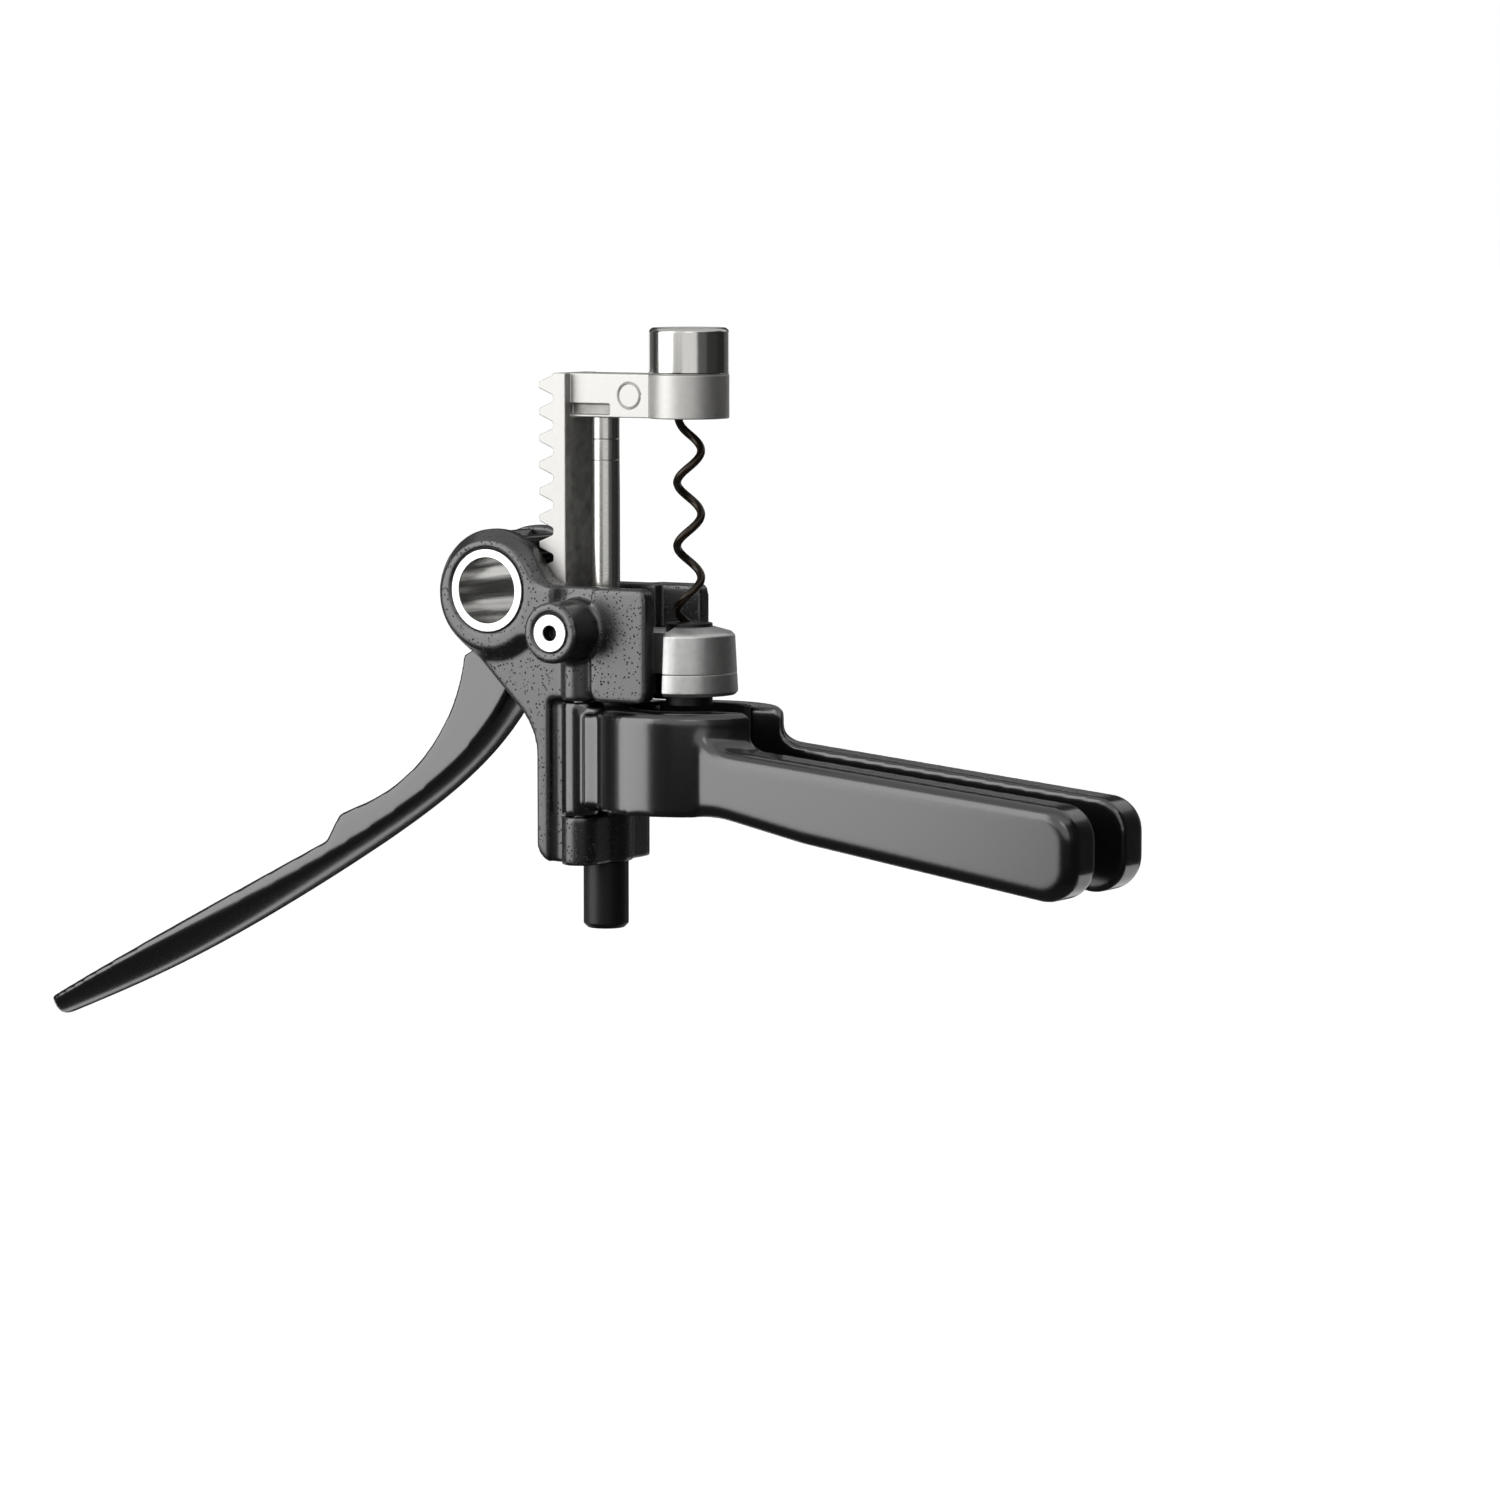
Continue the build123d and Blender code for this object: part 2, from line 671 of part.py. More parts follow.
def lever_plan():
    """The arm's outline seen square to its blade: straight, with a round end."""
    lean = radians(lever_sections[-2][2])
    out = Vector(cos(lean), 0, sin(lean))
    tip_x, tip_z = lever_tip
    end = Plane(origin=(axle_x + tip_x, 0, axle_z + tip_z), x_dir=Vector(0, 1, 0).cross(out), z_dir=out)
    length = 2 * hypot(tip_x, tip_z)
    blank = Pos(-length / 2) * SlotCenterToCenter(length - 2 * lever_tip_radius, 2 * lever_tip_radius)
    return end * extrude(blank, length / 2, both=True)


def lever_arm():
    arm = loft([lever_section(*section) for section in lever_sections])
    arm &= slab_y(Pos(axle_x, axle_z) * lever_profile(), -lever_tip_radius, lever_tip_radius)
    return arm & lever_plan()


def lever():
    hub = Circle(root_radius)
    first = degrees(mesh_phase / pitch_radius) - 360 / gear_teeth
    for step in range(sector_teeth):
        hub += gear_tooth(first + step * 360 / gear_teeth)
    body = slab_y(Pos(axle_x, axle_z) * hub, -rack_half_width, rack_half_width) + lever_arm()
    return body - bar_y(axle_body / 2 + run_gap, -plate_inner, plate_inner, axle_x, axle_z)


# Handles, drawn for the front one
def grip_outline():
    slope = tan(radians(grip_top_slope))
    end_top = (handle_length, grip_top - slope * handle_length)
    end_low = (handle_length, end_top[1] - grip_end_height)
    bend = (grip_bend, -jaw_height)
    outline = Polygon(
        (grip_start, grip_top - slope * grip_start), end_top, end_low, grip_knee, bend,
        (grip_start, -jaw_height), align=None,
    )
    for corner in (end_top, end_low):
        outline = rounded(outline, corner, grip_end_round)
    for corner in (grip_knee, bend):
        outline = rounded(outline, corner, grip_bend_round)
    return outline


def jaw_and_grip():
    """Half ring and grip, filleted where the grip's top runs into the ring, cut off at the inner face."""
    body = split(bar_z(jaw_radius, -jaw_height, 0), Plane.XZ)
    body += slab_y(grip_outline(), -handle_face, 0)
    body = fillet(body.edges().filter_by(GeomType.ELLIPSE), saddle_round)
    body = fillet(body.edges().filter_by_position(Axis.Y, -handle_face, -handle_face), handle_round)
    top = body.edges().filter_by(GeomType.CIRCLE).filter_by_position(Axis.Z, 0, 0)
    body = chamfer(top, jaw_edge)
    body = split(body, Plane.XZ.offset(jaw_half_gap))
    return body - bar_z(jaw_inner, frame_bottom, 0)


def handle():
    body = jaw_and_grip()
    low = hinge_bottom + knuckle_gap
    high = hinge_top - knuckle_gap
    body += bar_z(knuckle_radius, low, high, guide_x, -hinge_y)
    bore = bar_z(jaw_inner, -jaw_height, 0)
    body += block(guide_x, -jaw_inner, -hinge_y - web_half, -hinge_y + web_half, -jaw_height, 0) - bore
    under, over = rib_inset
    rib = block(rib_left, -jaw_inner, -rib_face, -hinge_y, under - jaw_height, -over)
    corner = rib.edges().filter_by(Axis.Z).sort_by(Axis.X)[:2].sort_by(Axis.Y)[0]
    body += fillet(corner, rib_round) - bore
    return body - bar_z(hinge_pin_radius + run_gap, low, high, guide_x, -hinge_y)


def jaw_liner():
    low = liner_inset - jaw_height
    ring = bar_z(jaw_inner, low, 0) - bar_z(bottle_radius, low, 0)
    return split(ring, Plane.XZ.offset(jaw_half_gap))


front_handle = handle()
front_liner = jaw_liner()

pieces = {
    "frame_casting": frame_casting(),
    "axle_tube": axle_tube(),
    "axle_collar": axle_collar(),
    "hinge_pin_front": hinge_pin(-1),
    "hinge_pin_rear": hinge_pin(1),
    "guide_tube": guide_tube(),
    "nut_carriage": nut_carriage(),
    "nut_carriage_skirt": nut_carriage_skirt(),
    "carriage_bush": carriage_bush(),
    "drive_nut": drive_nut(),
    "latch_plunger": latch_plunger(),
    "latch_spring": latch_spring(),
    "latch_plug": latch_plug(),
    "lever": lever(),
    "rack_carrier": rack_carrier(),
    "guide_post": guide_post(),
    "post_collar_lower": post_collar(collar_seams[0], collar_seams[1]),
    "post_collar_upper": post_collar(collar_seams[1], carrier_bottom),
    "post_screw": post_screw(),
    "worm_bearing": worm_bearing(),
    "thrust_washer": thrust_washer(),
    "worm_spindle": worm_spindle(),
    "worm": worm(),
    "top_cap": top_cap(),
    "front_handle": front_handle,
    "rear_handle": mirror(front_handle, Plane.XZ),
    "front_jaw_liner": front_liner,
    "rear_jaw_liner": mirror(front_liner, Plane.XZ),
}

os.makedirs("parts", exist_ok=True)
for node, solid in pieces.items():
    export_step(solid, f"parts/{node}.step")
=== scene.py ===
from math import cos, radians, sin, tan

import bpy
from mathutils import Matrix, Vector


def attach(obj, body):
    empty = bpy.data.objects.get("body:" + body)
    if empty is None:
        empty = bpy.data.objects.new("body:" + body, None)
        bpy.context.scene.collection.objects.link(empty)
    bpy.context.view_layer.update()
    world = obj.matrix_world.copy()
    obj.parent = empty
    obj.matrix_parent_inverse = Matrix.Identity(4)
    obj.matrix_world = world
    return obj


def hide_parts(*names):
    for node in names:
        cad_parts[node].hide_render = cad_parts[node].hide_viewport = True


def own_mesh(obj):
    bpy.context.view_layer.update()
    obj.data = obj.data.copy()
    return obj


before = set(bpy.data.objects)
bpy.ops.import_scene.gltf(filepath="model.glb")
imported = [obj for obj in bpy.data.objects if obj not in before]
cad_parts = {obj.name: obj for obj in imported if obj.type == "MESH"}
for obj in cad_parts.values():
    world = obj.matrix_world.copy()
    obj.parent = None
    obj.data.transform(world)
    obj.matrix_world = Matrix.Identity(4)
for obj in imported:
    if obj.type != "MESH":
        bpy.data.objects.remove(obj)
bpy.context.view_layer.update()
print("frame loaded:", len(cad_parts), "nodes")

mm = 0.001
white = (1, 1, 1, 1)
black = (0, 0, 0, 1)
axle = (-53.4, 29.9)         # x and z of the lever's axle
latchAxis = (-26.0, 20.2)    # x and z of the latch
scene = bpy.context.scene
scene.view_settings.view_transform = "Standard"


# Small helpers
def linear(hexColour):
    channels = [int(hexColour[i:i + 2], 16) / 255 for i in (0, 2, 4)]
    return [c / 12.92 if c <= 0.04045 else ((c + 0.055) / 1.055) ** 2.4 for c in channels] + [1.0]


def addNode(tree, kind, settings=(), links=()):
    node = tree.nodes.new("ShaderNode" + kind)
    for name, value in dict(settings).items():
        if hasattr(node, str(name)):
            setattr(node, name, value)
        else:
            node.inputs[name].default_value = value
    for name, (source, output) in dict(links).items():
        tree.links.new(source.outputs[output], node.inputs[name])
    return node


# The settings give the plain finish, which the patterns linked later vary
def startMaterial(name, settings):
    material = bpy.data.materials.new(name)
    material.use_nodes = True
    tree = material.node_tree
    shader = tree.nodes["Principled BSDF"]
    for socket, value in settings.items():
        shader.inputs[socket].default_value = value
    place = addNode(tree, "TexCoord")
    return material, tree, shader, place


wavePeriod = 0.314           # of a wave texture at scale 1


# The scale that gives a pattern this size in millimetres
def perMm(size):
    return 1 / (size * mm)


# Camera, fitted to the axle ring, the cheeks, the post and the cap
cameraSpot = {
    "place": (0.81613, -1.3539, 0.13515), "turn": (84.7, 0, 30.5),
    "lens": 144, "sensor": 36, "nearest": 0.01,
}
bpy.ops.object.camera_add(location=cameraSpot["place"], rotation=[radians(a) for a in cameraSpot["turn"]])
camera = bpy.context.object
camera.name = "camera"
camera.data.lens = cameraSpot["lens"]
camera.data.sensor_width = cameraSpot["sensor"]
camera.data.clip_start = cameraSpot["nearest"]
scene.camera = camera

# Studio: a tall softbox at the left, a small fill in front, and grey cards round the tool that only
# reflections see; between the cards they see the white world
studio = {
    "middle": (-0.02, 0.0, 0.02),
    "cameraAzimuth": cameraSpot["turn"][2],
    "diffuseSky": 0.30,
    "floor": {"height": -0.30, "size": 60, "lift": 0.75},
    "lamps": {
        "softbox": {"azimuth": -70, "height": 10, "distance": 1.2, "wide": 1.1, "tall": 1.7, "power": 12},
        "frontFill": {"azimuth": 2, "height": 34, "distance": 1.5, "wide": 0.5, "tall": 0.35, "power": 1.0},
    },
    # distance, left and right edge as turns from the camera, lower and upper edge, and tone
    "cards": [
        (0.9, -180, -150, 0.16, 0.75, 0.05),     # behind, above the horizon
        (0.9, -150, -122, -0.75, 0.75, 0.16),
        (0.9, -122, -95, -0.75, 0.75, 0.04),     # left of the softbox
        (1.1, -50, -19, -0.75, 0.03, 0.04),      # right of the softbox
        (0.9, 24, 52, -0.75, 0.75, 0.14),
        (0.9, 52, 87, -0.75, 0.75, 0.05),
        (0.9, 87, 121, -0.75, 0.75, 0.03),
        (0.9, 121, 150, -0.75, 0.36, 0.14),
        (0.9, 150, 180, 0.16, 0.75, 0.05),
        (0.35, -36, 18, -0.27, -0.012, 0.03),    # low and near, for the black jaws
        (0.35, 18, 54, -0.27, -0.012, 0.03),
        (0.35, 54, 87, -0.27, -0.012, 0.03),
        (0.35, 150, 210, -0.27, 0.045, 0.03),    # low and near behind, for the handles' tops
    ],
    "levelCards": {
        "groundCard": {"height": -0.27, "front": 1.3, "back": 0.25, "wide": 2.6, "tone": 0.06},
        "ceilingCard": {"height": 0.75, "front": 0.3, "back": 1.2, "wide": 2.4, "tone": 0.7},
    },
}


def around(azimuth, height, distance):
    turn = radians(studio["cameraAzimuth"] + azimuth)
    level = distance * cos(radians(height))
    out = Vector((sin(turn) * level, -cos(turn) * level, distance * sin(radians(height))))
    return Vector(studio["middle"]) + out


def aim(thing, height):
    x, y, z = studio["middle"]
    way = Vector((x, y, height)) - thing.location
    thing.rotation_euler = way.to_track_quat("-Z", "Y").to_euler()


for lampName, spec in studio["lamps"].items():
    bpy.ops.object.light_add(type="AREA", location=around(spec["azimuth"], spec["height"], spec["distance"]))
    lamp = bpy.context.object
    lamp.name = lampName
    lamp.data.shape = "RECTANGLE"
    lamp.data.size, lamp.data.size_y = spec["wide"], spec["tall"]
    lamp.data.energy = spec["power"]
    aim(lamp, studio["middle"][2])


# 1 for rays from the camera, off metal and through glass, 0 for the light that falls on things
def seenRays(tree):
    ray = addNode(tree, "LightPath")
    seen = addNode(tree, "Math", {"operation": "MAXIMUM"},
                   {0: (ray, "Is Camera Ray"), 1: (ray, "Is Glossy Ray")})
    return addNode(tree, "Math", {"operation": "MAXIMUM"}, {0: (seen, 0), 1: (ray, "Is Transmission Ray")})


world = bpy.data.worlds.new("studioWhite")
scene.world = world
world.use_nodes = True
world.cycles.sampling_method = "NONE"   # or the white would be sampled through the cards
tree = world.node_tree
level = addNode(tree, "MapRange", {"To Min": studio["diffuseSky"], "To Max": 1.0},
                {"Value": (seenRays(tree), 0)})
background = tree.nodes["Background"]
background.inputs["Color"].default_value = white
tree.links.new(level.outputs[0], background.inputs["Strength"])

bpy.ops.mesh.primitive_plane_add(size=studio["floor"]["size"], location=(0, 0, studio["floor"]["height"]))
floor = bpy.context.object
floor.name = "floor"
floorPaint, tree, shader, place = startMaterial("whiteFloorPaint", {
    "Base Color": linear("f0f0ee"), "Roughness": 0.85, "Specular IOR Level": 0.2, "Emission Color": white,
})
lift = addNode(tree, "MapRange", {"To Min": 0.0, "To Max": studio["floor"]["lift"]},
               {"Value": (seenRays(tree), 0)})
tree.links.new(lift.outputs[0], shader.inputs["Emission Strength"])
floor.data.materials.append(floorPaint)


# Seen by reflections only
def hangCard(name, tone):
    card = bpy.context.object
    card.name = name
    for rays in ("visible_camera", "visible_diffuse", "visible_transmission", "visible_volume_scatter",
                 "visible_shadow"):
        setattr(card, rays, False)
    cloth, tree, shader, place = startMaterial(name + "Cloth", {
        "Base Color": black, "Roughness": 1.0, "Specular IOR Level": 0.0, "Emission Color": white,
        "Emission Strength": tone,
    })
    cloth.cycles.emission_sampling = "NONE"
    card.data.materials.append(cloth)


for number, (distance, left, right, bottom, top, tone) in enumerate(studio["cards"]):
    wide = 2 * distance * tan(radians(right - left) / 2)
    spot = around((left + right) / 2, 0, distance)
    spot.z = (bottom + top) / 2
    bpy.ops.mesh.primitive_plane_add(size=1, location=spot)
    bpy.context.object.scale = (wide, top - bottom, 1)
    aim(bpy.context.object, spot.z)
    hangCard("card" + str(number + 1), tone)
for cardName, spec in studio["levelCards"].items():
    spot = around(0, 0, (spec["front"] - spec["back"]) / 2)
    spot.z = spec["height"]
    turn = (0, 0, radians(studio["cameraAzimuth"]))
    bpy.ops.mesh.primitive_plane_add(size=1, location=spot, rotation=turn)
    bpy.context.object.scale = (spec["wide"], spec["front"] + spec["back"], 1)
    hangCard(cardName, spec["tone"])
print("studio ready")

# Zinc die casting under black powder coat: satin, with a fine grain and the casting's pinholes,
# which are drawn half a millimetre wide, larger than most of the real ones, so that they show;
# their colour is darker, painted shade
powderCoat, tree, shader, place = startMaterial("powderCoatedZincCasting", {
    "Base Color": linear("0d0d0e"), "Roughness": 0.31, "Specular IOR Level": 0.9, "IOR": 1.62,
})
grain = addNode(tree, "TexNoise", {"Scale": perMm(0.5), "Detail": 2.0}, {"Vector": (place, "Object")})
cells = addNode(tree, "TexVoronoi", {"Scale": perMm(1.0)}, {"Vector": (place, "Object")})
patch = addNode(tree, "TexNoise", {"Scale": perMm(6.0), "Detail": 2.0}, {"Vector": (place, "Object")})
pinholeAndPaintedShade = addNode(tree, "MapRange", {"From Min": 0.20, "From Max": 0.30}, {"Value": (cells, "Distance")})
clean = addNode(tree, "MapRange", {"From Min": 0.37, "From Max": 0.46, "To Min": 1.0, "To Max": 0.0},
                {"Value": (patch, 0)})
smooth = addNode(tree, "Math", {"operation": "MAXIMUM"}, {0: (pinholeAndPaintedShade, 0), 1: (clean, 0)})
relief = addNode(tree, "Math", {"operation": "MULTIPLY_ADD", 1: 0.15}, {0: (grain, 0), 2: (smooth, 0)})
bump = addNode(tree, "Bump", {"Strength": 0.6, "Distance": 0.08 * mm}, {"Height": (relief, 0)})
sheen = addNode(tree, "MapRange", {"To Min": 0.26, "To Max": 0.37}, {"Value": (grain, 0)})
gloss = addNode(tree, "Mix", {"data_type": "FLOAT", "A": 0.9}, {"Factor": (smooth, 0), "B": (sheen, 0)})
# Painted shade: the base colour is darker in the pinholes, 030303 against 0d0d0e
shade = addNode(tree, "Mix", {"data_type": "RGBA", "A": linear("030303"), "B": linear("0d0d0e")},
                {"Factor": (smooth, 0)})
tree.links.new(shade.outputs["Result"], shader.inputs["Base Color"])
tree.links.new(gloss.outputs["Result"], shader.inputs["Roughness"])
tree.links.new(bump.outputs[0], shader.inputs["Normal"])

# Satin black lacquer on smooth castings: even, with a faint orange peel
satinLacquer, tree, shader, place = startMaterial("satinBlackLacquer", {
    "Base Color": linear("0b0b0c"), "Roughness": 0.23, "Specular IOR Level": 0.9, "IOR": 1.6,
})
peel = addNode(tree, "TexNoise", {"Scale": perMm(1.6), "Detail": 2.0}, {"Vector": (place, "Object")})
dust = addNode(tree, "TexNoise", {"Scale": perMm(0.5), "Detail": 2.0}, {"Vector": (place, "Object")})
gloss = addNode(tree, "MapRange", {"To Min": 0.16, "To Max": 0.25}, {"Value": (dust, 0)})
relief = addNode(tree, "Math", {"operation": "MULTIPLY_ADD", 1: 0.25}, {0: (dust, 0), 2: (peel, 0)})
bump = addNode(tree, "Bump", {"Strength": 0.3, "Distance": 0.02 * mm}, {"Height": (relief, 0)})
shade = addNode(tree, "Mix", {"data_type": "RGBA", "A": linear("090909"), "B": linear("0d0d0e")},
                {"Factor": (peel, 0)})
tree.links.new(shade.outputs["Result"], shader.inputs["Base Color"])
tree.links.new(gloss.outputs[0], shader.inputs["Roughness"])
tree.links.new(bump.outputs[0], shader.inputs["Normal"])

# Satin nickel on a zinc casting: pale, softly mottled, with a fine sandy skin, which is drawn coarser
# than the real one so that it shows
satinNickel, tree, shader, place = startMaterial("satinNickelCasting", {
    "Base Color": linear("c8c7c4"), "Metallic": 1.0, "Roughness": 0.52,
})
skin = addNode(tree, "TexNoise", {"Scale": perMm(0.3), "Detail": 2.0}, {"Vector": (place, "Object")})
mottle = addNode(tree, "TexNoise", {"Scale": perMm(2.4), "Detail": 3.0}, {"Vector": (place, "Object")})
shade = addNode(tree, "Mix", {"data_type": "RGBA", "A": linear("bebdba"), "B": linear("d3d2cf")},
                {"Factor": (mottle, 0)})
gloss = addNode(tree, "MapRange", {"To Min": 0.47, "To Max": 0.58}, {"Value": (mottle, 0)})
bump = addNode(tree, "Bump", {"Strength": 0.35, "Distance": 0.02 * mm}, {"Height": (skin, 0)})
tree.links.new(shade.outputs["Result"], shader.inputs["Base Color"])
tree.links.new(gloss.outputs[0], shader.inputs["Roughness"])
tree.links.new(bump.outputs[0], shader.inputs["Normal"])

# Dark zinc, dull and blotchy: painted shade on the floors of the arm's recesses, and on the rack's back
# partly the bare casting, partly painted shade
darkZincAndShade, tree, shader, place = startMaterial("darkZincAndPaintedShadeCasting", {
    "Base Color": linear("9a9996"), "Metallic": 1.0, "Roughness": 0.5,
})
blotch = addNode(tree, "TexNoise", {"Scale": perMm(3.5), "Detail": 4.0}, {"Vector": (place, "Object")})
shade = addNode(tree, "Mix", {"data_type": "RGBA", "A": linear("5a5957"), "B": linear("c6c5c1")},
                {"Factor": (blotch, 0)})
gloss = addNode(tree, "MapRange", {"To Min": 0.42, "To Max": 0.62}, {"Value": (blotch, 0)})
bump = addNode(tree, "Bump", {"Strength": 0.35, "Distance": 0.05 * mm}, {"Height": (blotch, 0)})
tree.links.new(shade.outputs["Result"], shader.inputs["Base Color"])
tree.links.new(gloss.outputs[0], shader.inputs["Roughness"])
tree.links.new(bump.outputs[0], shader.inputs["Normal"])

# Silver paint on a zinc casting: smooth, with a sparkle of aluminium flakes, drawn far larger than
# real ones so that they show
silverPaint, tree, shader, place = startMaterial("silverPaintedCasting", {
    "Base Color": linear("cfcfce"), "Metallic": 1.0, "Roughness": 0.42,
})
flakes = addNode(tree, "TexVoronoi", {"Scale": perMm(0.45)}, {"Vector": (place, "Object")})
cloud = addNode(tree, "TexNoise", {"Scale": perMm(2.0), "Detail": 3.0}, {"Vector": (place, "Object")})
shade = addNode(tree, "Mix", {"data_type": "RGBA", "A": linear("c0c0bf"), "B": linear("dadad9")},
                {"Factor": (cloud, 0)})
gloss = addNode(tree, "MapRange", {"To Min": 0.36, "To Max": 0.50}, {"Value": (flakes, "Distance")})
bump = addNode(tree, "Bump", {"Strength": 0.25, "Distance": 0.02 * mm}, {"Height": (flakes, "Distance")})
tree.links.new(shade.outputs["Result"], shader.inputs["Base Color"])
tree.links.new(gloss.outputs[0], shader.inputs["Roughness"])
tree.links.new(bump.outputs[0], shader.inputs["Normal"])

# Polished stainless steel: near mirror, its polish left fine streaks along the height and a speckle,
# both drawn wider than real ones so that they show
polishedSteel, tree, shader, place = startMaterial("polishedStainlessSteel", {
    "Base Color": linear("c9c8c5"), "Metallic": 1.0, "Roughness": 0.16,
})
stretch = addNode(tree, "Mapping", {"Scale": (perMm(0.5), perMm(0.5), perMm(9.0))},
                  {"Vector": (place, "Object")})
streak = addNode(tree, "TexNoise", {"Scale": 1.0, "Detail": 2.0}, {"Vector": (stretch, 0)})
speckle = addNode(tree, "TexNoise", {"Scale": perMm(0.4), "Detail": 2.0}, {"Vector": (place, "Object")})
gloss = addNode(tree, "MapRange", {"To Min": 0.10, "To Max": 0.24}, {"Value": (streak, 0)})
relief = addNode(tree, "Math", {"operation": "MULTIPLY_ADD", 1: 0.6}, {0: (speckle, 0), 2: (streak, 0)})
bump = addNode(tree, "Bump", {"Strength": 0.3, "Distance": 0.02 * mm}, {"Height": (relief, 0)})
tree.links.new(gloss.outputs[0], shader.inputs["Roughness"])
tree.links.new(bump.outputs[0], shader.inputs["Normal"])

# Turned steel: fine rings on the end faces, long streaks along the bore, brighter and duller by turns;
# the rings are drawn further apart than a lathe leaves them, so that they show
turnedSteel, tree, shader, place = startMaterial("turnedSteel", {
    "Base Color": linear("cfcecb"), "Metallic": 1.0, "Roughness": 0.25,
})
centre = addNode(tree, "Mapping", {"Location": (-axle[0] * mm, 0, -axle[1] * mm)},
                 {"Vector": (place, "Object")})
rings = addNode(tree, "TexWave", {
    "wave_type": "RINGS", "rings_direction": "Y", "Scale": wavePeriod * perMm(0.4), "Distortion": 1.5,
    "Detail": 2.0,
}, {"Vector": (centre, 0)})
along = addNode(tree, "Mapping", {"Scale": (perMm(0.8), perMm(16.0), perMm(0.8))},
                {"Vector": (place, "Object")})
drawn = addNode(tree, "TexNoise", {"Scale": 1.0, "Detail": 3.0}, {"Vector": (along, 0)})
turned = addNode(tree, "Math", {"operation": "MULTIPLY_ADD", 1: 0.2}, {0: (rings, "Fac"), 2: (drawn, 0)})
shade = addNode(tree, "Mix", {"data_type": "RGBA", "A": linear("a3a29f"), "B": linear("e6e5e2")},
                {"Factor": (drawn, 0)})
gloss = addNode(tree, "MapRange", {"To Min": 0.14, "To Max": 0.28}, {"Value": (drawn, 0)})
bump = addNode(tree, "Bump", {"Strength": 0.6, "Distance": 0.05 * mm}, {"Height": (turned, 0)})
tree.links.new(shade.outputs["Result"], shader.inputs["Base Color"])
tree.links.new(gloss.outputs[0], shader.inputs["Roughness"])
tree.links.new(bump.outputs[0], shader.inputs["Normal"])

# Ground steel: a satin sheen and fine lines round the post, drawn wider than real ones so that they show
groundSteel, tree, shader, place = startMaterial("groundSteel", {
    "Base Color": linear("c2c1bd"), "Metallic": 1.0, "Roughness": 0.22,
})
flat = addNode(tree, "Mapping", {"Scale": (perMm(9.0), perMm(9.0), perMm(0.35))},
               {"Vector": (place, "Object")})
lines = addNode(tree, "TexNoise", {"Scale": 1.0, "Detail": 2.0}, {"Vector": (flat, 0)})
gloss = addNode(tree, "MapRange", {"To Min": 0.16, "To Max": 0.30}, {"Value": (lines, 0)})
bump = addNode(tree, "Bump", {"Strength": 0.2, "Distance": 0.01 * mm}, {"Height": (lines, 0)})
tree.links.new(gloss.outputs[0], shader.inputs["Roughness"])
tree.links.new(bump.outputs[0], shader.inputs["Normal"])

# Plain bright steel of pins, screws and springs: a clean, slightly uneven gleam
brightSteel, tree, shader, place = startMaterial("brightDrawnSteel", {
    "Base Color": linear("b9b8b5"), "Metallic": 1.0, "Roughness": 0.28,
})
drawn = addNode(tree, "TexNoise", {"Scale": perMm(0.6), "Detail": 2.0}, {"Vector": (place, "Object")})
gloss = addNode(tree, "MapRange", {"To Min": 0.2, "To Max": 0.36}, {"Value": (drawn, 0)})
tree.links.new(gloss.outputs[0], shader.inputs["Roughness"])

# Dark steel with a dull metal glint, for the plug's socket: on its floor it stands for the dark pin end, on
# its walls it is painted shade
blackenedSteelAndShade, tree, shader, place = startMaterial("blackenedSteelAndShade", {
    "Base Color": linear("3a3a3b"), "Metallic": 0.8, "Roughness": 0.5,
})
soot = addNode(tree, "TexNoise", {"Scale": perMm(0.5), "Detail": 2.0}, {"Vector": (place, "Object")})
shade = addNode(tree, "Mix", {"data_type": "RGBA", "A": linear("262627"), "B": linear("454546")},
                {"Factor": (soot, 0)})
tree.links.new(shade.outputs["Result"], shader.inputs["Base Color"])

# Sintered bronze: dull, with the small pores of pressed powder, drawn larger than real ones and coloured
# darker as painted shade
sinteredBronze, tree, shader, place = startMaterial("sinteredBronze", {
    "Base Color": linear("a9854f"), "Metallic": 1.0, "Roughness": 0.45,
})
pores = addNode(tree, "TexVoronoi", {"Scale": perMm(0.5)}, {"Vector": (place, "Object")})
# Painted shade: the colour is darker at the centre of each pore
shade = addNode(tree, "Mix", {"data_type": "RGBA", "A": linear("6f5531"), "B": linear("b08a52")},
                {"Factor": (pores, "Distance")})
bump = addNode(tree, "Bump", {"Strength": 0.3, "Distance": 0.02 * mm}, {"Height": (pores, "Distance")})
tree.links.new(shade.outputs["Result"], shader.inputs["Base Color"])
tree.links.new(bump.outputs[0], shader.inputs["Normal"])

# Baked non-stick coating on wire: black with a warm bronze glint
nonStick, tree, shader, place = startMaterial("nonStickCoatedWire", {
    "Base Color": linear("2a221b"), "Metallic": 0.55, "Roughness": 0.26,
})
spray = addNode(tree, "TexNoise", {"Scale": perMm(0.5), "Detail": 3.0}, {"Vector": (place, "Object")})
shade = addNode(tree, "Mix", {"data_type": "RGBA", "A": linear("17130f"), "B": linear("3a2f24")},
                {"Factor": (spray, 0)})
gloss = addNode(tree, "MapRange", {"To Min": 0.2, "To Max": 0.36}, {"Value": (spray, 0)})
bump = addNode(tree, "Bump", {"Strength": 0.3, "Distance": 0.02 * mm}, {"Height": (spray, 0)})
tree.links.new(shade.outputs["Result"], shader.inputs["Base Color"])
tree.links.new(gloss.outputs[0], shader.inputs["Roughness"])
tree.links.new(bump.outputs[0], shader.inputs["Normal"])

